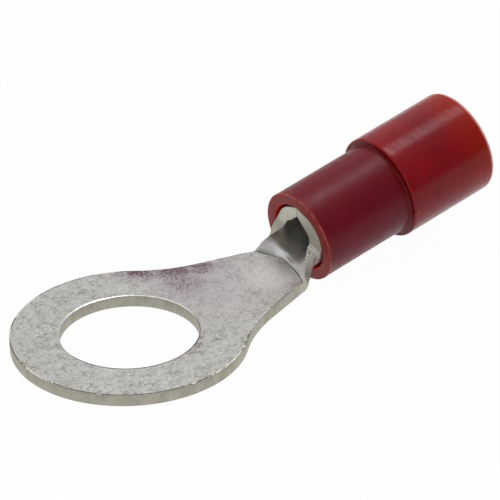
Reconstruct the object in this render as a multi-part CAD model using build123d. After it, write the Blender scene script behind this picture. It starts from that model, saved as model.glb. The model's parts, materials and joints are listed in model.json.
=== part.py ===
from build123d import *
from math import cos, pi, radians, sin, sqrt, tan
import os

# Insulated ring terminal for a heavy wire, in millimetres.
# The origin is the centre of the stud hole, on the underside of the ring.
# +X runs along the tongue to the wire end, and +Z is up out of the flat ring.

# Ring and tongue, stamped from flat stock
stock = 1.17
stud_hole_d = 13.0
ring_d = 22.2
neck_fillet_r = 15.0
taper_half_angle = 17.5

# Curved crease where the flat tongue ends and the throat folds up
crease_end_x = 17.8
crease_tip_x = 19.0
crease_width = 7.6

# Throat, the channel that curls up from the crease to the barrel
throat_width = 6.9
curl_start_x = 18.15
throat_lead = 0.3
throat_sections = 8

# Mouth of the barrel, which the throat pulls into a pointed arch
mouth_od = 6.2
mouth_flat_angle = 32.0
mouth_corner_r = 1.5
mouth_recess = 0.15
mouth_blend = 2.8
corner_sections = 5

# Barrel, rolled from the same stock with a butt seam on top
barrel_od = 6.6
barrel_length = 9.4
barrel_pitch = 8.2
seam_gap = 0.08
wire_entry_chamfer = 0.3

# Insulating sleeve, pushed over the barrel
sleeve_front_x = 20.54
sleeve_axis_z = 3.35
sleeve_front_od = 9.1
sleeve_front_length = 10.2
sleeve_rear_od = 10.34
sleeve_rear_length = 10.2
sleeve_rear_wall = 1.05
sleeve_fit = 0.05
sleeve_funnel_length = 1.6
sleeve_step_fillet = 0.25
sleeve_rim_r = 0.25

# How closely the throat's last section has to meet the mouth of the barrel
join_tolerance = 0.0001

# Values worked out from the sizes above
cutter_height = 2 * sleeve_front_od
mouth_mid_r = (mouth_od - stock) / 2
barrel_mid_r = (barrel_od - stock) / 2
barrel_end = mouth_recess + barrel_length
along_barrel = Vector(cos(radians(barrel_pitch)), 0, sin(radians(barrel_pitch)))
sleeve_front = Vector(sleeve_front_x, 0, sleeve_axis_z)
front_plane = Plane(origin=sleeve_front, x_dir=(0, 1, 0), z_dir=along_barrel)
side_plane = Plane(origin=sleeve_front, x_dir=along_barrel, z_dir=(0, -1, 0))
crease_bulge = crease_tip_x - crease_end_x
crease_r = (crease_width**2 / 4 + crease_bulge**2) / (2 * crease_bulge)


def half_taper(x):
    """Half the width of the tapering tongue at x."""
    return crease_width / 2 + (crease_end_x - x) * tan(radians(taper_half_angle))


def make_tongue():
    """Flat ring and tapering tongue, cut off along the curved crease."""
    half = crease_width / 2
    slope = radians(taper_half_angle)
    # Each side starts inside the ring, where it passes closest to the ring's centre
    nearest = half_taper(0) * cos(slope)
    x, y = nearest * sin(slope), nearest * cos(slope)
    taper = Polyline((crease_end_x, -half), (x, -y), (x, y), (crease_end_x, half))
    crease = ThreePointArc((crease_end_x, half), (crease_tip_x, 0), (crease_end_x, -half))
    outline = Circle(ring_d / 2) + make_face(taper.edges() + crease.edges())
    corners = [v for v in outline.vertices() if x < v.X < crease_end_x - crease_bulge]
    outline = fillet(corners, neck_fillet_r) - Circle(stud_hole_d / 2)
    return extrude(outline, stock)


def curled_strip(distance, half_width, mid_r, floor):
    """Section of the curled stock: an arc of even thickness, with its ends square to it."""
    reach = half_width / mid_r

    def on_arc(radius, angle):
        return (radius * sin(angle), floor + mid_r - radius * cos(angle))

    outer_r = mid_r + stock / 2
    inner_r = mid_r - stock / 2
    outer = ThreePointArc(on_arc(outer_r, -reach), on_arc(outer_r, 0), on_arc(outer_r, reach))
    inner = ThreePointArc(on_arc(inner_r, reach), on_arc(inner_r, 0), on_arc(inner_r, -reach))
    right_end = Line(outer @ 1, inner @ 0)
    left_end = Line(inner @ 1, outer @ 0)
    section = make_face([outer.edge(), right_end.edge(), inner.edge(), left_end.edge()])
    return front_plane.offset(distance) * section


def make_throat():
    """Channel that curls up from the crease, with the corners that widen it into the mouth."""
    tip = front_plane.to_local_coords(Vector(crease_tip_x, 0, stock / 2))
    end = front_plane.to_local_coords(Vector(crease_end_x, 0, stock / 2))
    curl_start = front_plane.to_local_coords(Vector(curl_start_x, 0, stock / 2))
    start = end.Z - throat_lead
    corner_start = mouth_recess - mouth_corner_r
    mouth_floor = -mouth_mid_r
    floor_slope = (mouth_floor - tip.Y) / (mouth_recess - tip.Z)
    fold_slope = floor_slope + tan(radians(barrel_pitch))
    crease_curl = 2 * crease_bulge * fold_slope / (crease_width / 2) ** 2
    mouth_curl = 1 / mouth_mid_r

    def section(distance, growth):
        share = max(0, (distance - curl_start.Z) / (mouth_recess - curl_start.Z))
        curl = crease_curl + (mouth_curl - crease_curl) * sin(share * pi / 2)
        floor = mouth_floor - floor_slope * (mouth_recess - distance)
        x = front_plane.from_local_coords(Vector(0, floor, distance)).X
        half_width = max(half_taper(x), throat_width / 2) + growth
        return curled_strip(distance, half_width, 1 / curl, floor)

    channel = []
    for i in range(throat_sections + 1):
        channel.append(section(start + (corner_start - start) * i / throat_sections, 0))
    corners = []
    for i in range(corner_sections + 1):
        turn = radians(90 * i / corner_sections)
        corners.append(section(corner_start + mouth_corner_r * sin(turn), mouth_corner_r * (1 - cos(turn))))
    inside_crease = Pos(crease_tip_x - crease_r, 0, 0) * Cylinder(crease_r, cutter_height)
    return loft(channel) + loft(corners, ruled=True) - inside_crease


def rolled_tube(distance, mid_r, pointed):
    """Section of the rolled tube. Where it is pointed, the stock runs straight to the seam."""
    flat = radians(mouth_flat_angle)
    gap = seam_gap / 2
    outer_r = mid_r + stock / 2
    inner_r = mid_r - stock / 2
    straight = (inner_r * sin(flat) - gap) / cos(flat)

    def point(radius, angle, side):
        return (side * radius * sin(angle), radius * cos(angle))

    def seam_point(radius, side):
        if pointed:
            x, y = point(radius, flat, side)
            return (x - side * straight * cos(flat), y + straight * sin(flat))
        return (side * gap, sqrt(radius**2 - gap**2))

    def bottom(radius, side):
        return ThreePointArc(point(radius, flat, -side), (0, -radius), point(radius, flat, side))

    def to_seam(radius, side):
        if pointed:
            return Line(point(radius, flat, side), seam_point(radius, side))
        return ThreePointArc(point(radius, flat, side), point(radius, flat / 2, side), seam_point(radius, side))

    outline = [
        bottom(outer_r, 1),
        to_seam(outer_r, 1),
        Line(seam_point(outer_r, 1), seam_point(inner_r, 1)),
        to_seam(inner_r, 1),
        bottom(inner_r, -1),
        to_seam(inner_r, -1),
        Line(seam_point(inner_r, -1), seam_point(outer_r, -1)),
        to_seam(outer_r, -1),
    ]
    return front_plane.offset(distance) * make_face([line.edge() for line in outline])


def make_barrel():
    """Tube rolled from the stock, round at the wire end and pinched at its mouth."""
    blend_end = mouth_recess + mouth_blend
    mouth = rolled_tube(mouth_recess, mouth_mid_r, pointed=True)
    tube_start = rolled_tube(blend_end, barrel_mid_r, pointed=False)
    barrel = loft([mouth, tube_start], ruled=True) + extrude(tube_start, barrel_end - blend_end)
    bore_r = barrel_mid_r - stock / 2
    entry = Cone(bore_r, bore_r + wire_entry_chamfer, wire_entry_chamfer)
    return barrel - front_plane.offset(barrel_end - wire_entry_chamfer / 2) * entry


def make_terminal():
    """One stamping: ring, tongue, throat and rolled barrel."""
    front = make_tongue() + make_throat()
    return front.solid().fuse(make_barrel().solid(), tol=join_tolerance)


def make_sleeve():
    """Insulating sleeve with a wider rear part, open at both ends."""
    bore_r = barrel_od / 2 + sleeve_fit
    rear_bore_r = sleeve_rear_od / 2 - sleeve_rear_wall
    funnel_start = barrel_end + sleeve_fit
    length = sleeve_front_length + sleeve_rear_length
    profile = Polyline(
        (0, bore_r),
        (0, sleeve_front_od / 2),
        (sleeve_front_length, sleeve_front_od / 2),
        (sleeve_front_length, sleeve_rear_od / 2),
        (length, sleeve_rear_od / 2),
        (length, rear_bore_r),
        (funnel_start + sleeve_funnel_length, rear_bore_r),
        (funnel_start, bore_r),
        close=True,
    )
    section = make_face(profile.edges())
    step = section.vertices().filter_by(lambda v: abs(v.X - sleeve_front_length) < sleeve_fit)
    section = fillet(step, sleeve_step_fillet)
    rim = section.vertices().filter_by(lambda v: abs(v.X - length) < sleeve_fit)
    section = fillet(rim.sort_by(Axis.Y)[-1], sleeve_rim_r)
    rim = section.vertices().filter_by(lambda v: abs(v.X - length) < sleeve_fit)
    section = chamfer(rim.sort_by(Axis.Y)[0], sleeve_rim_r)
    return revolve(side_plane * section, Axis(sleeve_front, along_barrel))


def write(name, shape):
    """Write one sub-part as a STEP file named for its node."""
    shape.label = name
    export_step(shape, f"parts/{name}.step")


os.makedirs("parts", exist_ok=True)
write("terminal_stamping", make_terminal())
write("insulating_sleeve", make_sleeve())
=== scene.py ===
# %% [markdown]
# # An insulated ring terminal, dressed for its portrait
# The real object is two pieces: a tin-plated copper stamping, cut flat and then curled
# into a barrel, and a translucent red nylon sleeve pushed over that barrel. The packed
# model gives the place and size of both. This lesson builds a finer mesh for each,
# gives it the finish of the real one, and sets up a small studio round it.

# %% Load the frame
import json
from functools import partial
from math import atan2, cos, hypot, pi, radians, sin, sqrt, tan

import bmesh
import bpy
from mathutils import Matrix, Vector, noise


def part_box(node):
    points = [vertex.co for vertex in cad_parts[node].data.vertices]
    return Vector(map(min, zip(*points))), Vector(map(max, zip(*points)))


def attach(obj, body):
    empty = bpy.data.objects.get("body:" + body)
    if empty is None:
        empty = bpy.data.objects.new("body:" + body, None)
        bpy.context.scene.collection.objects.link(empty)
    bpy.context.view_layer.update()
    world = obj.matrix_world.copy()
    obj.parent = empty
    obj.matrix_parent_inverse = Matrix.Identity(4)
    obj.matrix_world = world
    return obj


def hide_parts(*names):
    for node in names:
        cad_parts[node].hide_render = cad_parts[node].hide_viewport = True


MM = 0.001
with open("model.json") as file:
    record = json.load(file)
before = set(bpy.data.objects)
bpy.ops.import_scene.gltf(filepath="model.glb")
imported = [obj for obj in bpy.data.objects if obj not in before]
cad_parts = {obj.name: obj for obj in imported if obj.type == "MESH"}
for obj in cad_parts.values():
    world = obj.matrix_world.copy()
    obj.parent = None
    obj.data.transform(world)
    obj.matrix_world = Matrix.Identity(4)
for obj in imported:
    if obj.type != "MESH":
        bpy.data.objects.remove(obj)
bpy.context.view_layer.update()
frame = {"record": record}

# %% [markdown]
# # Sizes
# Everything below is worked out in millimetres and turned to metres at the end. The
# sizes that other parts meet (hole, stock, bore, axis) are read from the frame, so the
# looks can't drift from the model. The rest are the sizes of the blank and of the die.

# %% Sizes that the frame gives
mounts = {mount["name"]: mount for mount in frame["record"]["mounts"]}
hole_r = mounts["stud_hole"]["dims"]["r_mm"]
stock = mounts["stud_hole"]["dims"]["length_mm"]
bore_r = mounts["wire_barrel"]["dims"]["r_mm"]
along = Vector(mounts["wire_barrel"]["axis"]).normalized()
above = Vector((-along.z, 0, along.x))
ring_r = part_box("terminal_stamping")[1].y / MM
print(f"hole {hole_r}, stock {stock}, bore {bore_r}, ring {ring_r:.2f}")

# %% Sizes of the blank and the fold
neck_fillet_r = 15.0
taper_half_angle = radians(17.5)
crease_end_x, crease_half = 17.8, 3.8
sleeve_front = Vector((20.54, 0, 3.35))
curl_start_x, curl_start_floor = 18.15, 19.0
mouth_recess, mouth_blend = 0.15, 2.8
mouth_outer_r = 3.1
barrel_outer_r, barrel_length = bore_r + stock, 9.4
barrel_end = mouth_recess + barrel_length
print(f"barrel from {mouth_recess} to {barrel_end:.2f} behind the sleeve's front")


# %% Helpers for places
def in_frame(distance, across, height):
    """A place given along the barrel's axis, across it and above it, in the frame's own axes."""
    return sleeve_front + along * distance + Vector((0, across, 0)) + above * height


def from_frame(place):
    """The same turned round: distance along the axis, across it and above it."""
    offset = place - sleeve_front
    return offset.dot(along), offset.y, offset.dot(above)


def ease(start, end, value):
    """Rises smoothly from 0 at start to 1 at end."""
    share = min(1, max(0, (value - start) / (end - start)))
    return share * share * (3 - 2 * share)


def blend(first, last, share):
    """The value at a share of the way from the first to the last."""
    return first + (last - first) * share


print("mouth of the barrel:", [round(c, 2) for c in in_frame(mouth_recess, 0, 0)])


# %% [markdown]
# # The blank's outline
# A press cuts the blank from strip: a ring, a neck that flows into it, and a taper that
# ends where the die folds it along a crease. The outline runs once round, and each of its
# points is paired with one on the hole, so the flat part becomes a grid of quads with no
# poles or slivers. Cutting the hole with a Boolean would be quicker, but it leaves long
# thin faces that catch the light badly.
#
# The crease is not even: the die struck a little to one side, so it has a kink left of
# the middle, a straight run to the far edge and a curved one to the near edge.

# %% The uneven crease
crease_kink = (19.15, 1.0)
crease_far_x, crease_near_x = 18.05, 17.75
crease_bow = 1.6


def half_taper(x):
    """Half the width of the tapering tongue at x."""
    return crease_half + (crease_end_x - x) * tan(taper_half_angle)


def crease_point(share):
    """Point on the crease, from -1 at its near end to 1 at its far end."""
    kink_x, kink_y = crease_kink
    far_y, near_y = half_taper(crease_far_x), -half_taper(crease_near_x)
    y = blend(near_y, far_y, (share + 1) / 2)
    if y > kink_y:
        return blend(kink_x, crease_far_x, (y - kink_y) / (far_y - kink_y)), y
    return blend(kink_x, crease_near_x, ((kink_y - y) / (kink_y - near_y)) ** crease_bow), y


print("ends of the crease:", [[round(c, 2) for c in crease_point(share)] for share in (-1, 1)])


# %% Outline of the flat part
crease_columns = 20
neck_steps, ring_steps, taper_steps = 16, 44, 6


def blank_side(crease_x):
    """One side of the blank, from the crease's end back to the point opposite the tongue."""
    out = Vector((sin(taper_half_angle), cos(taper_half_angle)))
    down_taper = Vector((out.y, -out.x))
    corner = Vector((crease_x, half_taper(crease_x)))
    centre = out * (out.dot(corner) + neck_fillet_r)
    centre += down_taper * sqrt((ring_r + neck_fillet_r) ** 2 - centre.length_squared)
    meets_taper = centre - out * neck_fillet_r
    meets_ring = centre * ring_r / (ring_r + neck_fillet_r)
    side = [corner.lerp(meets_taper, (k + 1) / taper_steps) for k in range(taper_steps)]
    start = atan2(*(meets_taper - centre).yx)
    end = atan2(*(meets_ring - centre).yx)
    for k in range(1, neck_steps + 1):
        angle = blend(start, end, k / neck_steps)
        side.append(centre + neck_fillet_r * Vector((cos(angle), sin(angle))))
    start = atan2(*meets_ring.yx)
    for k in range(1, ring_steps + 1):
        angle = blend(start, pi, k / ring_steps)
        side.append(ring_r * Vector((cos(angle), sin(angle))))
    return [tuple(point) for point in side]


crease_shares = [k / crease_columns for k in range(-crease_columns, crease_columns + 1)]
near_side = [(x, -y) for x, y in reversed(blank_side(crease_near_x)[:-1])]
outline = [crease_point(share) for share in crease_shares] + blank_side(crease_far_x) + near_side
print("outline points:", len(outline))

# %% [markdown]
# # The fold and the curl
# Past the crease the stock becomes a channel whose floor runs along the barrel. It is
# hardly curled at the crease and grows as round as the barrel at its mouth. Solidify
# could give a middle surface its thickness, but the real stock isn't even here: the die
# draws the channel's edges thin, and squeezes the mouth's inner edge thick. So the two
# skins of the stock are worked out one by one, and a place is always a pair: inner, outer.

# %% Where the stock is drawn, rolled and upset
# A zone is a pair of distances along the barrel's axis, between which a change comes in.
drawn_stock, flank_stock = 0.95, 1.38
near_corner_stock, near_upset_zone = 1.57, (-1.9, 0.1)
far_corner_stock, far_upset_zone = 1.18, (-2.4, 0.4)
near_narrowing, near_narrow_zone = 0.4, (-3.0, -1.2)
far_widening, far_widen_zone = 0.4, (-2.0, -0.3)
far_edge_roll, roll_end_zone = 0.45, (-1.0, -0.3)
near_tuck, tuck_start_zone, tuck_end_zone = 0.2, (-1.6, -0.8), (-0.6, 0.1)
upset_forward, forward_zone = 0.15, (-0.6, mouth_recess)
edge_from, corner_fade = 0.5, radians(28)
print(f"stock {stock}, drawn to {drawn_stock} and upset to {near_corner_stock} at the near corner")

# %% The curl
mouth_mid_r = mouth_outer_r - stock / 2
floor_start = from_frame(Vector((curl_start_floor, 0, stock / 2)))
curl_start = from_frame(Vector((curl_start_x, 0, stock / 2)))[0]
floor_slope = (-mouth_mid_r - floor_start[2]) / (mouth_recess - floor_start[0])
crease_curl = 0.05
near_corner_r, far_corner_r = 0.5, 1.2
print(f"the floor of the throat falls by {floor_slope:.3f} a millimetre")


# %% Width and thickness of the strip
def strip_reach(distance, side):
    """How far the strip reaches round the curl, on its inner skin."""
    if side < 0:
        return crease_half - near_narrowing * ease(*near_narrow_zone, distance)
    return crease_half + far_widening * ease(*far_widen_zone, distance)


def strip_stock(distance, side):
    """Thickness at the strip's edge, which is drawn thin and then upset at the mouth."""
    if side < 0:
        return blend(drawn_stock, near_corner_stock, ease(*near_upset_zone, distance))
    return blend(drawn_stock, far_corner_stock, ease(*far_upset_zone, distance))


def edge_stock(distance, share, drawn):
    """Thickness at a share of the way to the strip's edge."""
    at_edge = blend(stock, strip_stock(distance, share), drawn)
    return blend(stock, at_edge, ease(edge_from, 1, abs(share)))


corner_stocks = [round(edge_stock(mouth_recess, side, 1), 2) for side in (-1, 1)]
print("stock at the corners of the mouth:", corner_stocks)


# %% The two skins of the throat
def throat_skins(distance, share, growth, drawn):
    """Inner and outer place in the throat. Growth widens the strip into the mouth's corners."""
    to_mouth = min(1, max(0, (distance - curl_start) / (mouth_recess - curl_start)))
    radius = 1 / blend(crease_curl, 1 / mouth_mid_r, sin(to_mouth * pi / 2))
    floor = -mouth_mid_r - floor_slope * (mouth_recess - distance)
    near_edge = ease(edge_from, 1, abs(share))
    inner = stock / 2 - edge_stock(distance, share, drawn)
    rolled = far_edge_roll * drawn * near_edge * (1 - ease(*roll_end_zone, distance))
    tucked = near_tuck * near_edge * ease(*tuck_start_zone, distance) * (1 - ease(*tuck_end_zone, distance))
    rolled, tucked = (rolled, 0) if share > 0 else (0, tucked)
    outer = stock / 2 - tucked
    squeezed = upset_forward * near_edge * ease(*forward_zone, distance)
    places = []
    for offset, roll, forward in ((inner, 0, squeezed), (outer, rolled, 0)):
        angle = share * (strip_reach(distance, share) + growth - roll) / radius
        reach = radius + offset
        height = floor + radius - reach * cos(angle)
        places.append(in_frame(distance - forward, reach * sin(angle), height))
    return places


# %% The two skins of the barrel
inner_pinch, outer_pinch = radians(46), radians(20)
inner_lean, outer_lean = radians(5.5), radians(1.5)
seam_gap = 0.03
upset_depth = 1.2


def barrel_skins(distance, angle, mouth_stock):
    """Inner and outer place in the barrel, at an angle from the bottom, positive to the far side.

    Towards the mouth the section is pinched: its flanks leave the circle and run straight
    to a peak at the seam. The seam leans, so inside and outside have their peaks apart.
    """
    round_share = ease(0, mouth_blend, distance - mouth_recess)
    upset = 1 - ease(0, upset_depth, distance - mouth_recess)
    mouth_inner_r = mouth_outer_r - blend(stock, mouth_stock, upset)
    squeezed = upset_forward * upset * ease(stock, far_corner_stock, mouth_stock)
    places = []
    for radius, end_r, pinch, lean, forward in (
        (mouth_inner_r, bore_r, inner_pinch, inner_lean, squeezed),
        (mouth_outer_r, barrel_outer_r, outer_pinch, outer_lean, 0),
    ):
        radius = blend(radius, end_r, round_share)
        pinch *= 1 - round_share
        lean *= ease(pi / 2, pi, abs(angle)) * (1 - round_share)
        turned = angle + lean
        from_seam = pi - abs(angle)
        if from_seam < pinch:
            radius *= 1 / cos(pinch - from_seam)
        places.append(in_frame(distance - forward, radius * sin(turned), -radius * cos(turned)))
    return places


# %% [markdown]
# # One sheet of stock
# Rows of places run from the hole out to the outline, on from the crease through the
# throat, and then along the barrel. Each place is a pair, so the same quads are laid on
# both skins, and each open side of a quad gets one more quad across the thickness. Those
# cut faces go in a material slot of their own, and so do the quads beside the hole and
# beside the rim, where the edge was rubbed. Last, a Bevel modifier breaks the edges.

# %% Rows of the flat part
# A row is a distance out from the hole, a share of the way to the rim, or a distance in
# from the rim. The hole's far edge is rolled down, least where it comes to the tongue.
hole_rows, hole_roll = (0.0, 0.12), (-0.08, 0.0)
roll_fade_x, roll_fade_y = (-0.1, 0.75), (-0.3, 0.3)
flat_rows = (0.08, 0.25, 0.45, 0.65, 0.82)
rim_rows = (0.35, 0.2, 0.1, 0.0)
crease_lips = (0.0, 0.0, 0.01, -0.07)
shares_from, rim_from = len(hole_rows), len(hole_rows) + len(flat_rows)
flat_row_count = rim_from + len(rim_rows)


def flat_row(row):
    """Places of one row of the flat part, each a pair of the top and the underside."""
    places = []
    for k, (x, y) in enumerate(outline):
        length, lip = hypot(x, y), 0
        if row < shares_from:
            out = hole_r + hole_rows[row]
            faded = (1 - ease(*roll_fade_x, x / length)) * ease(*roll_fade_y, y / length)
            lip = hole_roll[row] * faded
        elif row < rim_from:
            out = blend(hole_r, length, flat_rows[row - shares_from])
        else:
            out = length - rim_rows[row - rim_from]
            lip = crease_lips[row - rim_from] if k < len(crease_shares) else 0
        x, y = x * out / length, y * out / length
        places.append((Vector((x, y, stock + lip)), Vector((x, y, 0))))
    return places


print("rows of the flat part:", flat_row_count)

# %% Rows of the throat
# Just past the crease the rows lie close, and rise and fall again as a low ridge. The gap
# between the crease and the throat's own form closes over the first millimetre.
throat_starts = (0.06, 0.16, 0.35, 0.6)
crease_ridge = (0.02, 0.05, 0.05, 0.01)
gap_closes, draw_comes_in = 1.0, 0.8
throat_rows, corner_rows = 14, 8


def corner_radius(share):
    """Radius of the mouth's corner, from the near side to the far side."""
    return blend(near_corner_r, far_corner_r, (share + 1) / 2)


def throat_column(share, crease):
    """Places from just past the crease to the mouth, which start from the crease itself."""
    start = from_frame(crease[1])[0]
    natural = throat_skins(start, share, 0, 0)
    gaps = [place - other for place, other in zip(crease, natural)]
    corner_r = corner_radius(share)
    corner_start = mouth_recess - corner_r
    steps = list(throat_starts)
    for k in range(1, throat_rows + 1):
        steps.append(blend(throat_starts[-1], corner_start - start, k / throat_rows))
    places = []
    for k, step in enumerate(steps):
        fade = 1 - ease(0, gap_closes, step)
        inner, outer = throat_skins(start + step, share, 0, ease(0, draw_comes_in, step))
        ridge = above * (crease_ridge[k] if k < len(crease_ridge) else 0)
        places.append([inner + gaps[0] * fade + ridge, outer + gaps[1] * fade])
    for k in range(1, corner_rows + 1):
        turn = pi / 2 * k / corner_rows
        distance = corner_start + corner_r * sin(turn)
        places.append(throat_skins(distance, share, corner_r * (1 - cos(turn)), 1))
    return places


def mouth_angle(share):
    """Angle from the bottom at which a column of the throat arrives at the mouth."""
    return share * (strip_reach(mouth_recess, share) + corner_radius(share)) / mouth_mid_r


print("rows of the throat:", len(throat_starts) + throat_rows + corner_rows)


# %% A sheet of quads
def join_rows(quads, rows):
    """Joins each row of place numbers to the next one with quads."""
    for row, following in zip(rows, rows[1:]):
        for k in range(len(row) - 1):
            quads.append((row[k], following[k], following[k + 1], row[k + 1]))


class Sheet:
    """Pairs of places, the quads between them, and which quads were rubbed on their top."""

    def __init__(self):
        self.places, self.quads, self.rubbed = [], [], set()

    def add_row(self, places):
        self.places += places
        return list(range(len(self.places) - len(places), len(self.places)))


# %% Flat part and throat
def add_flat(sheet):
    """The flat part. Gives back the place numbers along the crease."""
    rows = []
    for row in range(flat_row_count):
        numbers = sheet.add_row(flat_row(row))
        rows.append(numbers + numbers[:1])
    join_rows(sheet.quads, rows)
    rim = (len(rows) - 2) * len(outline)
    past_crease = rim + len(crease_shares) - 1
    sheet.rubbed.update(range(len(outline)), range(past_crease, rim + len(outline)))
    return rows[-1][: len(crease_shares)]


def add_throat(sheet, crease):
    """The throat, from the crease on. Gives back the place numbers along the mouth."""
    columns = [throat_column(share, sheet.places[k]) for share, k in zip(crease_shares, crease)]
    rows = [crease] + [sheet.add_row(list(row)) for row in zip(*columns)]
    join_rows(sheet.quads, rows)
    return rows[-1]


# %% Barrel
wall_columns, blend_rows, tube_rows = 20, 14, 3
first_steps = [0.04, 0.12]


def add_barrel(sheet, mouth):
    """The barrel, from seam to seam round the bottom, starting at the throat's last row."""
    angles = [mouth_angle(share) for share in crease_shares]
    near_seam, far_seam = -pi + seam_gap / 2 / bore_r, pi - seam_gap / 2 / bore_r
    near = [blend(near_seam, angles[0], k / wall_columns) for k in range(wall_columns)]
    far = [blend(angles[-1], far_seam, (k + 1) / wall_columns) for k in range(wall_columns)]
    near_fades = [ease(0, corner_fade, angles[0] - angle) for angle in near]
    far_fades = [ease(0, corner_fade, angle - angles[-1]) for angle in far]
    near_stocks = [blend(near_corner_stock, flank_stock, fade) for fade in near_fades]
    far_stocks = [blend(far_corner_stock, flank_stock, fade) for fade in far_fades]
    stocks = near_stocks + [edge_stock(mouth_recess, share, 1) for share in crease_shares] + far_stocks
    first = sheet.add_row([barrel_skins(mouth_recess, *column) for column in zip(near, near_stocks)]) + mouth
    first += sheet.add_row([barrel_skins(mouth_recess, *column) for column in zip(far, far_stocks)])
    steps = first_steps + [mouth_blend * (k / blend_rows) for k in range(1, blend_rows + 1)]
    steps += [blend(mouth_blend, barrel_length, k / tube_rows) for k in range(1, tube_rows + 1)]
    rows = [first]
    for step in steps:
        columns = zip(near + angles + far, stocks)
        rows.append(sheet.add_row([barrel_skins(mouth_recess + step, *column) for column in columns]))
    join_rows(sheet.quads, rows)


# %% Both skins as one mesh
face_slot, cut_slot, rubbed_slot = 0, 1, 2


def thick_mesh(sheet):
    """Both skins of the sheet and the cut faces between them, each in its material slot."""
    mesh = bmesh.new()
    inner = [mesh.verts.new(pair[0]) for pair in sheet.places]
    outer = [mesh.verts.new(pair[1]) for pair in sheet.places]
    sides = {(quad[k - 1], quad[k]) for quad in sheet.quads for k in range(4)}
    for number, quad in enumerate(sheet.quads):
        face = mesh.faces.new([inner[k] for k in reversed(quad)])
        face.material_index = rubbed_slot if number in sheet.rubbed else face_slot
        mesh.faces.new([outer[k] for k in quad])
    for first, last in sides:
        if (last, first) not in sides:
            cut = mesh.faces.new((inner[first], inner[last], outer[last], outer[first]))
            cut.material_index = cut_slot
    bmesh.ops.recalc_face_normals(mesh, faces=mesh.faces)
    return mesh


def finish_mesh(name, mesh):
    """Turns millimetres to metres, and makes an object of the mesh."""
    bmesh.ops.scale(mesh, vec=(MM,) * 3, verts=mesh.verts)
    data = bpy.data.meshes.new(name)
    mesh.to_mesh(data)
    mesh.free()
    piece = bpy.data.objects.new(name, data)
    bpy.context.scene.collection.objects.link(piece)
    return piece


# %% Make the stamping
sheet = Sheet()
add_barrel(sheet, add_throat(sheet, add_flat(sheet)))
stamping = finish_mesh("tinned_stamping", thick_mesh(sheet))
print("stamping before its edges are broken:", len(stamping.data.polygons), "faces")

# %% Break the edges
edge_break = 0.12


def apply_modifiers(piece):
    """Keeps the mesh that the modifiers make, and removes them."""
    shaped = piece.evaluated_get(bpy.context.evaluated_depsgraph_get())
    data = bpy.data.meshes.new_from_object(shaped)
    piece.modifiers.clear()
    piece.data = data


soften = stamping.modifiers.new("broken_edges", "BEVEL")
soften.width = edge_break * MM
soften.segments = 2
soften.limit_method = "ANGLE"
soften.angle_limit = radians(50)
soften.material = rubbed_slot
for slot in (face_slot, cut_slot, rubbed_slot):
    stamping.data.materials.append(None)
apply_modifiers(stamping)
stamping.data.shade_smooth()
stamping.data.set_sharp_from_angle(angle=radians(40))
print("stamping in mm:", [round(size / MM, 2) for size in stamping.dimensions])

# %% [markdown]
# # The sleeve
# The sleeve is turned about its axis, so one profile swept round makes it all: front
# part, step, wider rear part, rounded rim and the bore with its funnel. Every corner of
# the profile has its own small radius, because moulded nylon has no sharp edge, and
# those radii are what draws the fine lines of light round the step and the rims.

# %% Sizes of the sleeve
# A corner of the profile is its distance along the axis, its radius and its rounding.
sleeve_fit = 0.05
sleeve_bore_r = barrel_outer_r + sleeve_fit
front_r, rear_r, rear_bore_r = 4.55, 5.17, mounts["sleeve_mouth"]["dims"]["r_mm"]
step_at, sleeve_length = 10.2, 20.4
funnel_start, funnel_length = barrel_end + sleeve_fit, 1.6
sleeve_corners = (
    (0, front_r, 0.11),
    (step_at, front_r, 0.3),
    (step_at, rear_r, 0.2),
    (sleeve_length, rear_r, 0.3),
    (sleeve_length, rear_bore_r, 0.25),
    (funnel_start + funnel_length, rear_bore_r, 0.3),
    (funnel_start, sleeve_bore_r, 0.3),
    (0.18, sleeve_bore_r, 0.1),
    (0, sleeve_bore_r + 0.12, 0.05),
)
print(f"sleeve {sleeve_length} long, {2 * front_r} and {2 * rear_r} across")

# %% Rounded profile
corner_steps, longest_side = 6, 0.4


def rounded(corners):
    """Closed outline with each corner turned into an arc of its own radius."""
    points = []
    for k, (x, y, radius) in enumerate(corners):
        corner = Vector((x, y))
        to_last = (Vector(corners[k - 1][:2]) - corner).normalized()
        to_next = (Vector(corners[(k + 1) % len(corners)][:2]) - corner).normalized()
        half = to_last.angle(to_next) / 2
        setback = radius / tan(half)
        centre = corner + (to_last + to_next).normalized() * radius / sin(half)
        start = corner + to_last * setback - centre
        sweep = -start.angle_signed(corner + to_next * setback - centre)
        for step in range(corner_steps + 1):
            points.append(centre + Matrix.Rotation(sweep * step / corner_steps, 2) @ start)
    return points


def divided(points):
    """The same closed outline, with points added so that no side is long."""
    finer = []
    for last, point in zip(points[-1:] + points, points):
        parts = max(1, round((point - last).length / longest_side))
        finer += [last.lerp(point, (k + 1) / parts) for k in range(parts)]
    return finer


profile = divided(rounded(sleeve_corners))
print("points of the profile:", len(profile))

# %% Flash
flash_height, flash_share, flash_ripples = 0.045, 0.6, 5.0
lip_fade, skin_depth = (0.06, 0.2), 0.3
spur_height, spur_angle, spur_length, spur_width = 0.16, radians(262), 0.28, 0.3


def flash(distance, radius, angle):
    """Radius with the mould's flash: a ragged lip on the front rim, and one spur on the step."""
    ragged = flash_share + noise.noise((cos(angle) * flash_ripples, sin(angle) * flash_ripples, 0))
    on_front = (1 - ease(*lip_fade, distance)) * ease(front_r - skin_depth, front_r, radius)
    from_spur = hypot((angle - spur_angle) * rear_r / spur_length, (distance - step_at) / spur_width)
    on_step = (1 - ease(0, 1, from_spur)) * ease(front_r + skin_depth, rear_r, radius)
    return radius + flash_height * ragged * on_front + spur_height * on_step


# %% Sweep the profile
sleeve_turns = 240


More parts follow.
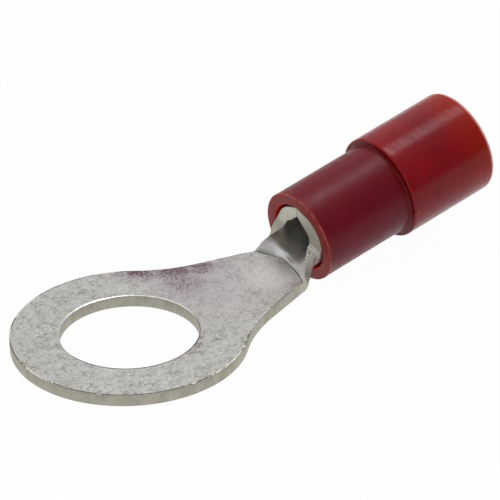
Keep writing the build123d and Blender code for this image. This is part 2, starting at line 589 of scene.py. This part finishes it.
def sweep_round(mesh, profile, turns):
    """Sweeps a closed profile round the barrel's axis."""
    rows = []
    for turn in range(turns):
        angle = 2 * pi * turn / turns
        row = []
        for distance, profile_r in profile:
            radius = flash(distance, profile_r, angle)
            row.append(mesh.verts.new(in_frame(distance, radius * sin(angle), radius * cos(angle))))
        rows.append(row + row[:1])
    quads = []
    join_rows(quads, rows + rows[:1])
    for quad in quads:
        mesh.faces.new(quad)
    bmesh.ops.recalc_face_normals(mesh, faces=mesh.faces)


tube = bmesh.new()
sweep_round(tube, profile, sleeve_turns)
sleeve = finish_mesh("nylon_sleeve", tube)
sleeve.data.shade_smooth()
sleeve.data.set_sharp_from_angle(angle=radians(50))
print("sleeve:", len(sleeve.data.polygons), "faces")

# %% [markdown]
# # Materials
# Colours are written as sRGB hex, as a colour picker shows them, and turned to the
# linear values that shaders work in. One small function adds a node, sets its values
# and joins its links, so a material reads as a list of its steps. The object's own
# coordinates are turned to millimetres first, so the scale of a pattern is one divided
# by the real size of what it draws. A range that fades with distance runs from far to near.

# %% Colour and node helpers
def linear(hex_colour):
    """An sRGB hex colour as linear RGBA."""
    channels = [int(hex_colour[k : k + 2], 16) / 255 for k in (1, 3, 5)]
    return [c / 12.92 if c <= 0.04045 else ((c + 0.055) / 1.055) ** 2.4 for c in channels] + [1]


def live(sockets, name=None):
    """A node's socket by its name, or its first, passing over those that its mode switches off."""
    return next(socket for socket in sockets if socket.enabled and name in (None, socket.name))


def add_node(tree, kind, settings, links=None):
    """Adds a shader node with its settings and links, which come from a node or one of its outputs."""
    node = tree.nodes.new("ShaderNode" + kind)
    for name, value in settings.items():
        if isinstance(name, str) and hasattr(node, name):
            setattr(node, name, value)
        else:
            socket = node.inputs[name] if isinstance(name, int) else live(node.inputs, name)
            socket.default_value = value
    for name, source in (links or {}).items():
        socket = node.inputs[name] if isinstance(name, int) else live(node.inputs, name)
        tree.links.new(live(source.outputs) if isinstance(source, bpy.types.Node) else source, socket)
    return node


def new_material(name):
    """An empty material, the call that adds a node to it, and the object's places in millimetres."""
    material = bpy.data.materials.new(name)
    material.use_nodes = True
    material.node_tree.nodes.clear()
    add = partial(add_node, material.node_tree)
    place = add("TexCoord", {}).outputs["Object"]
    return material, add, add("VectorMath", {"operation": "SCALE", "Scale": 1 / MM}, {0: place})


# %% [markdown]
# # Tin-plated copper
# The blank is copper, tumbled in a plating barrel until a matt tin coat a few microns
# thick covers it. To the eye that is a pale grey metal, softly mottled where its crystals
# grew. It is built up in steps, each mixed over the last: mottle, hairlines, stains and
# the light and shade painted at the fold.

# %% Colour of the tin
material, add, place = new_material("tin_plated_copper")
grain_mm, cloud_mm = 0.3, 5.0
grain = add(
    "TexNoise", {"Scale": 1 / grain_mm, "Detail": 4, "Roughness": 0.65, "Distortion": 0.6}, {"Vector": place}
)
clouds = add("TexNoise", {"Scale": 1 / cloud_mm, "Detail": 3}, {"Vector": place})
share = add("MapRange", {"From Min": 0.36, "From Max": 0.64}, {"Value": grain})
colour = add("Mix", {"data_type": "RGBA", "A": linear("#bebdba"), "B": linear("#dad9d7")}, {"Factor": share})
share = add("MapRange", {"From Min": 0.4, "From Max": 0.65, "To Max": 0.4}, {"Value": clouds})
colour = add("Mix", {"data_type": "RGBA", "B": linear("#c2bfb4")}, {"Factor": share, "A": colour})

# %% [markdown]
# ## Hairlines
# In the tumbler the pieces scratch each other in short curls. They could be drawn one by
# one as an image. The borders of Voronoi cells make thin lines without one: a noise first
# pushes each place aside, so that the borders curl, and a slower noise takes stretches of
# them away. The real scratches are 0.03 mm wide, and these are wider, so that they show.

# %% Curled hairlines
wander_mm, break_mm = 0.55, 1.0
wander = add("TexNoise", {"Scale": 1 / wander_mm, "Detail": 3, "Roughness": 0.6}, {"Vector": place})
wander = add("VectorMath", {"operation": "SUBTRACT", 1: (0.5, 0.5, 0.5)}, {0: live(wander.outputs, "Color")})
breaks = add("TexNoise", {"Scale": 1 / break_mm, "Detail": 3, "Roughness": 0.6}, {"Vector": place})
whole = add("MapRange", {"From Min": 0.38, "From Max": 0.6}, {"Value": breaks})
hairlines = None
for cell_mm, line_mm, wander_by in ((1.2, 0.055, 1.3), (0.6, 0.04, 0.9)):
    pushed = add("VectorMath", {"operation": "SCALE", "Scale": wander_by}, {0: wander})
    twisted = add("VectorMath", {"operation": "ADD"}, {0: place, 1: pushed})
    cells = add("TexVoronoi", {"feature": "DISTANCE_TO_EDGE", "Scale": 1 / cell_mm}, {"Vector": twisted})
    line = add("MapRange", {"From Min": line_mm / cell_mm, "From Max": 0}, {"Value": cells})
    line = add("Math", {"operation": "MULTIPLY"}, {0: line, 1: whole})
    if hairlines:
        line = add("Math", {"operation": "MAXIMUM"}, {0: hairlines, 1: line})
    hairlines = line

# %% Where the crease runs
# The mesh's kink and bow again, as nodes: the crease's x for each y, and how far past it
# a place lies. The throat slid along the die, which wiped most hairlines off it.
coordinates = add("SeparateXYZ", {}, {"Vector": place})
place_x, place_y = live(coordinates.outputs, "X"), live(coordinates.outputs, "Y")
kink_x, kink_y = crease_kink
near_y, far_y = crease_point(-1)[1], crease_point(1)[1]
to_near = add("MapRange", {"From Min": kink_y, "From Max": near_y}, {"Value": place_y})
to_near = add("Math", {"operation": "POWER", 1: crease_bow}, {0: to_near})
to_far = add("MapRange", {"From Min": kink_y, "From Max": far_y}, {"Value": place_y})
far_by, near_by = crease_far_x - kink_x, crease_near_x - kink_x
far_x = add("Math", {"operation": "MULTIPLY_ADD", 1: far_by, 2: kink_x}, {0: to_far})
crease_x = add("Math", {"operation": "MULTIPLY_ADD", 1: near_by}, {0: to_near, 2: far_x})
past_crease = add("Math", {"operation": "SUBTRACT"}, {0: place_x, 1: crease_x})
folded = add("MapRange", {"From Max": 0.25}, {"Value": past_crease})
flat_share = add("MapRange", {"To Min": 1, "To Max": 0.15}, {"Value": folded})
hairlines = add("Math", {"operation": "MULTIPLY"}, {0: hairlines, 1: flat_share})
share = add("Math", {"operation": "MULTIPLY", 1: 0.7}, {0: hairlines})
colour = add("Mix", {"data_type": "RGBA", "B": linear("#5f5549")}, {"Factor": share, "A": colour})

# %% [markdown]
# ## Stains
# Damp air and fingers stain stored tin. Seen close, a stain is a crowd of purple-brown
# specks on a faint violet tint. Each one here is a place on the top face with a radius
# and a strength, listed one by one: along the neck's far side, by the hole's near edge and in
# the tongue's near corner. The stronger the stain, the lower the level that a fine noise
# has to pass to show a speck.

# %% Places of the stains
stains = (
    (6.4, 9.1, 2.2, 0.8),
    (8.0, 8.0, 3.3, 1.0),
    (10.2, 6.2, 3.5, 1.0),
    (12.2, 4.8, 2.8, 0.9),
    (9.4, 3.6, 4.0, 0.75),
    (14.2, 4.2, 2.0, 0.5),
    (4.2, -5.2, 0.9, 0.7),
    (3.2, -6.0, 0.9, 0.8),
    (1.9, -6.5, 0.9, 0.7),
    (0.3, -6.8, 0.8, 0.5),
    (16.9, -3.9, 1.7, 0.8),
    (15.6, -4.2, 1.2, 0.5),
)
stain_core = 0.3
stained = None
for x, y, radius, strength in stains:
    apart = add("VectorMath", {"operation": "DISTANCE", 1: (x, y, stock)}, {0: place})
    spot = add(
        "MapRange",
        {"From Min": radius, "From Max": radius * stain_core, "To Max": strength},
        {"Value": apart},
    )
    if stained:
        spot = add("Math", {"operation": "MAXIMUM"}, {0: stained, 1: spot})
    stained = spot
print("stains:", len(stains))

# %% Specks and tint
speck_mm, patch_mm = 0.17, 1.3
specks = add(
    "TexNoise", {"Scale": 1 / speck_mm, "Detail": 4, "Roughness": 0.7, "Distortion": 0.8}, {"Vector": place}
)
patches = add("TexNoise", {"Scale": 1 / patch_mm, "Detail": 3, "Roughness": 0.6}, {"Vector": place})
patches = add("MapRange", {"From Min": 0.3, "From Max": 0.6, "To Min": 0.65}, {"Value": patches})
dense = add("Math", {"operation": "MULTIPLY"}, {0: stained, 1: patches})
level = add("MapRange", {"To Min": 0.7, "To Max": 0.35}, {"Value": dense})
above_level = add("Math", {"operation": "SUBTRACT"}, {0: specks, 1: level})
speckled = add("MapRange", {"From Max": 0.1, "To Max": 0.85}, {"Value": above_level})
tint = add("Math", {"operation": "MULTIPLY", 1: 0.42}, {0: stained})
neck_middle = (10.5, 1.5, stock)
apart = add("VectorMath", {"operation": "DISTANCE", 1: neck_middle}, {0: place})
on_neck = add("MapRange", {"From Min": 8, "From Max": 2, "To Max": 0.3}, {"Value": apart})
for share, tone in ((tint, "#ab9da9"), (speckled, "#5c2a30"), (on_neck, "#b9afbb")):
    colour = add("Mix", {"data_type": "RGBA", "B": linear(tone)}, {"Factor": share, "A": colour})

# %% [markdown]
# ## Light and shade painted at the fold
# Where the die folds the flat part up, light and shade are painted into the tin's colour.
# The far flank inside the throat is painted darker and browner, as shade. The tongue beside
# the crease is painted paler, as light, the floor past it gets a painted highlight, and the
# crease itself a thin dark line of painted shade.

# %% Painted shade on the flank and crease line, painted light on the tongue and floor
# Painted shade: the far flank inside the throat is painted darker and browner.
flank_place = tuple(in_frame(-1.5, 2.9, -0.9))
apart = add("VectorMath", {"operation": "DISTANCE", 1: flank_place}, {0: place})
flank_painted_shade = add("MapRange", {"From Min": 3, "From Max": 1.2, "To Min": 0.1}, {"Value": apart})
flank_painted_shade = add("Math", {"operation": "MULTIPLY"}, {0: flank_painted_shade, 1: folded})

# Painted light: the tongue beside the crease is painted paler.
beside_crease = (17.0, -1.5, stock)
apart = add("VectorMath", {"operation": "DISTANCE", 1: beside_crease}, {0: place})
crease_side_painted_light = add("MapRange", {"From Min": 4, "From Max": 1.2, "To Max": 0.48}, {"Value": apart})

# Painted highlight: the floor just past the crease, on its far half, is painted near white.
floor_painted_highlight = add("MapRange", {"From Min": 0.9, "From Max": 0.4, "To Max": 0.9}, {"Value": past_crease})
far_half = add("MapRange", {"From Min": -2, "From Max": 0.5, "To Min": 0.1}, {"Value": place_y})
floor_painted_highlight = add("Math", {"operation": "MULTIPLY"}, {0: floor_painted_highlight, 1: folded})
floor_painted_highlight = add("Math", {"operation": "MULTIPLY"}, {0: floor_painted_highlight, 1: far_half})

# Painted shade: a thin dark line along the crease.
crease_line_mm = 0.08
off_crease = add("Math", {"operation": "ABSOLUTE"}, {0: past_crease})
crease_painted_shade = add(
    "MapRange",
    {"From Min": crease_line_mm, "From Max": crease_line_mm / 2, "To Max": 0.75},
    {"Value": off_crease},
)
for share, tone in (
    (flank_painted_shade, "#787064"),
    (crease_side_painted_light, "#f4f3f1"),
    (floor_painted_highlight, "#fafaf9"),
    (crease_painted_shade, "#4a4136"),
):
    colour = add("Mix", {"data_type": "RGBA", "B": linear(tone)}, {"Factor": share, "A": colour})

# %% Bump and gloss of the tin
# The grain stands up, the hairlines are cut in, and slow dents bend the reflections.
dent_mm = 1.6
raised = add("Math", {"operation": "SUBTRACT"}, {0: grain, 1: hairlines})
strength = add("Math", {"operation": "MULTIPLY", 1: 0.4}, {0: flat_share})
bump = add("Bump", {"Distance": 0.02 * MM}, {"Strength": strength, "Height": raised})
dents = add("TexNoise", {"Scale": 1 / dent_mm, "Detail": 2}, {"Vector": place})
bump = add("Bump", {"Strength": 0.06, "Distance": 0.05 * MM}, {"Height": dents, "Normal": bump})
rough = add("MapRange", {"From Min": 0.35, "From Max": 0.65, "To Min": 0.5, "To Max": 0.6}, {"Value": grain})
tin = add("BsdfPrincipled", {"Metallic": 1}, {"Base Color": colour, "Roughness": rough, "Normal": bump})
add("OutputMaterial", {}, {"Surface": tin})
stamping.data.materials[face_slot] = material
print(material.name, "has", len(material.node_tree.nodes), "nodes")

# %% [markdown]
# # Sheared edge
# The press shears the stock: the punch burnishes the upper part of the edge and the rest
# tears. Plated over, that is a slightly yellow grey, smoother than the face, with faint
# streaks across the thickness and a few pale knocks. The cut round the mouth is painted
# paler, as light, and the die tore the stock at its near corner into bright and dark beads.

# %% Colour of the cut
material, add, place = new_material("sheared_tin_edge")
streak_mm, mottle_mm, knock_mm = 0.3, 1.6, 0.5
stretched = add("VectorMath", {"operation": "MULTIPLY", 1: (1, 1, 0.3)}, {0: place})
streaks = add("TexNoise", {"Scale": 1 / streak_mm, "Detail": 3, "Roughness": 0.55}, {"Vector": stretched})
mottle = add("TexNoise", {"Scale": 1 / mottle_mm, "Detail": 3}, {"Vector": place})
knocks = add("TexNoise", {"Scale": 1 / knock_mm, "Detail": 3, "Roughness": 0.7}, {"Vector": place})
share = add("MapRange", {"From Min": 0.35, "From Max": 0.65}, {"Value": mottle})
colour = add("Mix", {"data_type": "RGBA", "A": linear("#a3a092"), "B": linear("#b1aea0")}, {"Factor": share})
for pattern, low, high, strongest, tone in (
    (streaks, 0.5, 0.68, 0.14, "#837e70"),
    (knocks, 0.66, 0.72, 0.55, "#d9d8c4"),
):
    share = add("MapRange", {"From Min": low, "From Max": high, "To Max": strongest}, {"Value": pattern})
    colour = add("Mix", {"data_type": "RGBA", "B": linear(tone)}, {"Factor": share, "A": colour})

# %% Painted light on the mouth, and the torn corner
# Painted light: the cut round the mouth's near side is painted paler.
mouth_light_centre = tuple(in_frame(mouth_recess, -1.5, 0))
apart = add("VectorMath", {"operation": "DISTANCE", 1: mouth_light_centre}, {0: place})
share = add("MapRange", {"From Min": 5.5, "From Max": 3, "To Max": 0.85}, {"Value": apart})
colour = add("Mix", {"data_type": "RGBA", "B": linear("#d3d0c4")}, {"Factor": share, "A": colour})

torn_at, torn_bead_mm = -0.9, 0.18
torn_place = tuple(throat_skins(torn_at, -1, 0, 1)[0])
apart = add("VectorMath", {"operation": "DISTANCE", 1: torn_place}, {0: place})
torn = add("MapRange", {"From Min": 1.2, "From Max": 0.4}, {"Value": apart})
beads = add("TexNoise", {"Scale": 1 / torn_bead_mm, "Detail": 2, "Distortion": 0.8}, {"Vector": place})
for low, high, tone in ((0.48, 0.56, "#f7f6f0"), (0.42, 0.35, "#3d382f")):
    share = add("MapRange", {"From Min": low, "From Max": high}, {"Value": beads})
    share = add("Math", {"operation": "MULTIPLY"}, {0: share, 1: torn})
    colour = add("Mix", {"data_type": "RGBA", "B": linear(tone)}, {"Factor": share, "A": colour})

# %% Bump and gloss of the cut
bump = add("Bump", {"Strength": 0.3, "Distance": 0.02 * MM}, {"Height": streaks})
rough = add(
    "MapRange", {"From Min": 0.3, "From Max": 0.7, "To Min": 0.42, "To Max": 0.56}, {"Value": streaks}
)
cut = add("BsdfPrincipled", {"Metallic": 1}, {"Base Color": colour, "Roughness": rough, "Normal": bump})
add("OutputMaterial", {}, {"Surface": cut})
stamping.data.materials[cut_slot] = material
print(material.name, "has", len(material.node_tree.nodes), "nodes")

# %% [markdown]
# # Rubbed edges and painted glints
# The shear leaves a burr round the blank, and tumbling folds it over. To the eye that is
# a fine dark line; the bright beads on it, where the burr was rubbed flat, are painted
# glints. The hole's far edge is rolled down and painted bright nearly all along, as the
# highlight on its lip, and its near edge is stained brown.

# %% Beads along the edges, with painted glints
material, add, place = new_material("rubbed_tin_edge")
bead_mm, stretch_mm = 0.25, 4.0
beads = add("TexNoise", {"Scale": 1 / bead_mm, "Detail": 3, "Roughness": 0.7}, {"Vector": place})
stretches = add("TexNoise", {"Scale": 1 / stretch_mm, "Detail": 2}, {"Vector": place})
rubbed = add("Math", {"operation": "ADD"}, {0: beads, 1: stretches})

in_plan = add("VectorMath", {"operation": "MULTIPLY", 1: (1, 1, 0)}, {0: place})
from_stud = add("VectorMath", {"operation": "LENGTH"}, {0: in_plan})
by_hole = add("MapRange", {"From Min": hole_r + 0.6, "From Max": hole_r + 0.4}, {"Value": from_stud})
coordinates = add("SeparateXYZ", {}, {"Vector": place})
place_y = live(coordinates.outputs, "Y")
# Painted highlight: the hole's far edge gets more bright beads, for the light on its lip.
far_side_highlight = add("MapRange", {"From Min": -0.5, "From Max": 1.5, "To Max": 0.26}, {"Value": place_y})
far_lip_highlight = add("Math", {"operation": "MULTIPLY"}, {0: by_hole, 1: far_side_highlight})
rubbed = add("Math", {"operation": "ADD"}, {0: rubbed, 1: far_lip_highlight})
# Painted glints: the bright beads are near-white colour on the dark burr line.
glint_share = add("MapRange", {"From Min": 1.0, "From Max": 1.1}, {"Value": rubbed})
colour = add("Mix", {"data_type": "RGBA", "A": linear("#453d32"), "B": linear("#fafaf8")}, {"Factor": glint_share})
near_side = add("MapRange", {"From Min": -0.5, "From Max": -3, "To Max": 0.8}, {"Value": place_y})
share = add("Math", {"operation": "MULTIPLY"}, {0: by_hole, 1: near_side})
colour = add("Mix", {"data_type": "RGBA", "B": linear("#5a3f40")}, {"Factor": share, "A": colour})

# %% Bump and gloss of the edges
rough = add("MapRange", {"To Min": 0.45, "To Max": 0.32}, {"Value": glint_share})
bump = add("Bump", {"Strength": 0.8, "Distance": 0.06 * MM}, {"Height": beads})
edge = add("BsdfPrincipled", {"Metallic": 1}, {"Base Color": colour, "Roughness": rough, "Normal": bump})
add("OutputMaterial", {}, {"Surface": edge})
stamping.data.materials[rubbed_slot] = material
print(material.name, "has", len(material.node_tree.nodes), "nodes")

# %% [markdown]
# # Red nylon
# The sleeve is moulded polyamide, dyed a deep translucent red. Light goes a little way in,
# so it glows orange where it is thin, at the open end and round the bore, and looks nearly
# wine-red where it is thick. The mould's front part was blasted, which gives a broad
# blotchy sheen, and its rear part was turned, which leaves fine rings across the sheen.

# %% Places on the sleeve
material, add, place = new_material("dyed_nylon")
offset = add("VectorMath", {"operation": "SUBTRACT", 1: tuple(sleeve_front)}, {0: place})
down = add("VectorMath", {"operation": "DOT_PRODUCT", 1: tuple(along)}, {0: offset})
on_axis = add("VectorMath", {"operation": "SCALE", 0: tuple(along)}, {"Scale": down})
radial = add("VectorMath", {"operation": "SUBTRACT"}, {0: offset, 1: on_axis})
from_axis = add("VectorMath", {"operation": "LENGTH"}, {0: radial})
is_rear = add("MapRange", {"From Min": step_at - 0.1, "From Max": step_at + 0.1}, {"Value": down})

# %% Colour of the nylon
swirl_mm = 3.0
swirls = add("TexNoise", {"Scale": 1 / swirl_mm, "Detail": 3}, {"Vector": place})
colour = add(
    "Mix", {"data_type": "RGBA", "A": linear("#781323"), "B": linear("#94161f")}, {"Factor": is_rear}
)
share = add("MapRange", {"From Min": 0.35, "From Max": 0.7, "To Max": 0.35}, {"Value": swirls})
colour = add("Mix", {"data_type": "RGBA", "B": linear("#5e1422")}, {"Factor": share, "A": colour})

# %% Where light comes through
# The open end, the front face and the edge of the bore glow in turn. The groove that the
# step makes gets the least light.
open_end = add(
    "MapRange",
    {"From Min": sleeve_length - 4.0, "From Max": sleeve_length - 0.5, "To Max": 0.7},
    {"Value": down},
)
front_face = add("MapRange", {"From Min": 0.3, "From Max": 0.02, "To Max": 0.6}, {"Value": down})
near_bore = add(
    "MapRange",
    {"From Min": sleeve_bore_r + 0.28, "From Max": sleeve_bore_r + 0.06, "To Max": 0.9},
    {"Value": from_axis},
)
below_rear = add("MapRange", {"From Min": rear_r - 0.1, "From Max": rear_r - 0.25}, {"Value": from_axis})
before_step = add("MapRange", {"From Min": step_at - 0.6, "From Max": step_at - 0.45}, {"Value": down})
groove = add("Math", {"operation": "MULTIPLY"}, {0: below_rear, 1: before_step})
for share, tone in (
    (open_end, "#a8260c"),
    (front_face, "#9c2a20"),
    (near_bore, "#b8220c"),
    (groove, "#6e0006"),
):
    colour = add("Mix", {"data_type": "RGBA", "B": linear(tone)}, {"Factor": share, "A": colour})

# %% Whitened front rim, painted highlight on the rear rim
# Flash and knocks leave the front rim pale in broken stretches. The pale line round the
# rear rim is a painted highlight on its rounding.
rim_knock_mm, rear_rim_highlight_strength = 0.7, 0.7
knocks = add("TexNoise", {"Scale": 1 / rim_knock_mm, "Detail": 3, "Roughness": 0.6}, {"Vector": place})
broken = add("MapRange", {"From Min": 0.42, "From Max": 0.6, "To Min": 0.1, "To Max": 0.6}, {"Value": knocks})
at_front = add("MapRange", {"From Min": 0.08, "From Max": 0.02}, {"Value": down})
by_front_r = add("MapRange", {"From Min": front_r - 0.08, "From Max": front_r - 0.03}, {"Value": from_axis})
front_rim = add("Math", {"operation": "MULTIPLY"}, {0: at_front, 1: by_front_r})
front_rim = add("Math", {"operation": "MULTIPLY"}, {0: front_rim, 1: broken})

# Painted highlight: a pale line on the rear rim's rounding, all round.
at_rear = add("MapRange", {"From Min": sleeve_length - 0.4, "From Max": sleeve_length - 0.2}, {"Value": down})
by_rear_r = add(
    "MapRange",
    {"From Min": rear_r - 0.3, "From Max": rear_r - 0.12, "To Max": rear_rim_highlight_strength},
    {"Value": from_axis},
)
rear_rim_painted_highlight = add("Math", {"operation": "MULTIPLY"}, {0: at_rear, 1: by_rear_r})
for share, tone in ((front_rim, "#dcaaa9"), (rear_rim_painted_highlight, "#f2dcdc")):
    colour = add("Mix", {"data_type": "RGBA", "B": linear(tone)}, {"Factor": share, "A": colour})

# %% Rings and blotches
# The rings run round the axis, so places are squeezed towards it before the noise is read.
ring_line_mm, blotch_mm, squeeze = 0.22, 0.9, 0.1
squeezed = add("VectorMath", {"operation": "SCALE", "Scale": squeeze}, {0: radial})
squeezed = add("VectorMath", {"operation": "ADD"}, {0: squeezed, 1: on_axis})
ring_lines = add("TexNoise", {"Scale": 1 / ring_line_mm, "Detail": 2}, {"Vector": squeezed})
blotches = add("TexNoise", {"Scale": 1 / blotch_mm, "Detail": 4, "Roughness": 0.6}, {"Vector": place})
strength = add("MapRange", {"To Min": 0.15, "To Max": 0.7}, {"Value": is_rear})
bump = add("Bump", {"Distance": 0.06 * MM}, {"Strength": strength, "Height": ring_lines})
strength = add("MapRange", {"To Min": 0.6, "To Max": 0.15}, {"Value": is_rear})
bump = add("Bump", {"Distance": 0.03 * MM}, {"Strength": strength, "Height": blotches, "Normal": bump})

# %% Sheen of the nylon
base_rough = add("MapRange", {"To Min": 0.34, "To Max": 0.2}, {"Value": is_rear})
extra_rough = add(
    "MapRange", {"From Min": 0.3, "From Max": 0.7, "To Min": -0.06, "To Max": 0.1}, {"Value": blotches}
)
rough = add("Math", {"operation": "ADD"}, {0: base_rough, 1: extra_rough})
nylon = add(
    "BsdfPrincipled",
    {
        "IOR": 1.5,
        "Specular IOR Level": 0.17,
        "Subsurface Weight": 0.5,
        "Subsurface Scale": 2.0 * MM,
        "Subsurface Radius": (1.0, 0.15, 0.1),
    },
    {"Base Color": colour, "Roughness": rough, "Normal": bump},
)
add("OutputMaterial", {}, {"Surface": nylon})
sleeve.data.materials.append(material)
print(material.name, "has", len(material.node_tree.nodes), "nodes")

# %% [markdown]
# # Join the frame
# Both pieces ride on the frame's one body and stand in for their nodes of the model,
# which are hidden.

# %% Ride and replace
for piece, node, slot in (
    (stamping, "terminal_stamping", "tinned_copper"),
    (sleeve, "insulating_sleeve", "nylon_sleeve"),
):
    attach(piece, "root")
    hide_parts(node)

# %% [markdown]
# # The studio
# The terminal lies on its ring's far edge and on the front rim of its sleeve, so the
# floor is tilted by two degrees in the frame to pass under both. The floor looks white
# to the camera, and keeps part of the soft shadow.

# %% Floor
rests_back = Vector((-ring_r, 0, 0))
rests_front = in_frame(0, 0, -front_r)
tilt = atan2(rests_back.z - rests_front.z, rests_front.x - rests_back.x)
floor_size, floor_white = 4.0, 0.975
bpy.ops.mesh.primitive_grid_add(size=floor_size, x_subdivisions=4, y_subdivisions=4)
floor = bpy.context.object
floor.name = "floor"
floor.rotation_euler = (0, tilt, 0)
floor.location = rests_back * MM
print(f"floor tilt {tilt * 180 / pi:.2f} degrees")

# %% White paper
# The floor is a matt white sheet to the light, and glows white to the camera and to what
# mirrors it. A small part of it stays plain paper, which carries the soft shadow.
material, add, _ = new_material("white_paper_floor")
paper = add("BsdfDiffuse", {"Color": linear("#e6e6e6")})
rays = add("LightPath", {}).outputs
seen = add("Math", {"operation": "MAXIMUM"}, {0: rays["Is Camera Ray"], 1: rays["Is Glossy Ray"]})
seen = add("Math", {"operation": "MAXIMUM"}, {0: seen, 1: rays["Is Transmission Ray"]})
share = add("Math", {"operation": "MULTIPLY", 1: floor_white}, {0: seen})
white = add("Emission", {"Color": linear("#ffffff"), "Strength": 1})
mixed = add("MixShader", {}, {0: share, 1: paper, 2: white})
add("OutputMaterial", {}, {"Surface": mixed})
floor.data.materials.append(material)
print(material.name, "has", len(material.node_tree.nodes), "nodes")

# %% Light of the room
# Half of the room is bright, away from the camera, which is what the flat ring mirrors.
toward_key = Vector((0.05, 0.55, 0.83)).normalized()
dim_side, key_side = 0.13, 0.78
gradient_start, gradient_end = 0.15, 0.85
world = bpy.data.worlds.new("studio")
bpy.context.scene.world = world
world.use_nodes = True
tree = world.node_tree
add = partial(add_node, tree)
background = tree.nodes["Background"]
background.inputs["Color"].default_value = linear("#ffffff")
direction = add("TexCoord", {}).outputs["Generated"]
facing = add("VectorMath", {"operation": "DOT_PRODUCT", 1: tuple(toward_key)}, {0: direction})
brightness = add(
    "MapRange",
    {"From Min": gradient_start, "From Max": gradient_end, "To Min": dim_side, "To Max": key_side},
    {"Value": facing},
)
tree.links.new(brightness.outputs[0], background.inputs["Strength"])
print(f"the room goes from {dim_side} to {key_side}")

# %% Softboxes
subject = Vector((15, 0, 3)) * MM
softbox_distance = 0.4


def add_softbox(name, direction, size, radiance):
    """A square of light at a distance, which gives off the same radiance whatever its size."""
    lamp = bpy.data.lights.new(name, "AREA")
    lamp.shape = "RECTANGLE"
    lamp.size, lamp.size_y = size
    lamp.energy = radiance * pi * size[0] * size[1]
    softbox = bpy.data.objects.new(name, lamp)
    bpy.context.scene.collection.objects.link(softbox)
    toward = Vector(direction).normalized()
    softbox.location = subject + toward * softbox_distance
    softbox.rotation_euler = (-toward).to_track_quat("-Z", "Y").to_euler()
    print(f"{name}: {lamp.energy:.3f} W")


add_softbox("top_softbox", direction=(0.3, 0.12, 0.94), size=(0.14, 0.14), radiance=6.0)
add_softbox("front_softbox", direction=(-0.55, -0.68, 0.5), size=(0.22, 0.22), radiance=2.2)

# %% [markdown]
# # The camera
# The photograph was taken with a long lens from above the ring's near side. The three
# angles and the place come from fitting a camera to the hole, the ring and the sleeve.

# %% Camera
sensor_width = 36.0
focal_pixels, picture_width = 4670.5, 500
camera_yaw, camera_elevation, camera_roll = radians(38.833), radians(30.146), radians(1.595)
camera_place = Vector((-222.79, -294.95, 224.04)) * MM
lens = bpy.data.cameras.new("camera")
lens.sensor_width = sensor_width
lens.lens = focal_pixels / picture_width * sensor_width
lens.clip_start, lens.clip_end = 0.01, 10
lens.shift_x, lens.shift_y = -0.001, 0.001
camera = bpy.data.objects.new("camera", lens)
bpy.context.scene.collection.objects.link(camera)
turned = Matrix.Rotation(camera_yaw, 3, "Z")
pitched = Matrix.Rotation(camera_elevation - pi / 2, 3, "X")
rolled = Matrix.Rotation(camera_roll, 3, "Z")
to_camera = rolled @ pitched @ turned
camera.matrix_world = Matrix.Translation(camera_place) @ to_camera.transposed().to_4x4()
bpy.context.scene.camera = camera
bpy.context.scene.view_settings.view_transform = "Standard"
print(f"lens {lens.lens:.1f} mm, {camera_place.length:.3f} m from the stud hole")
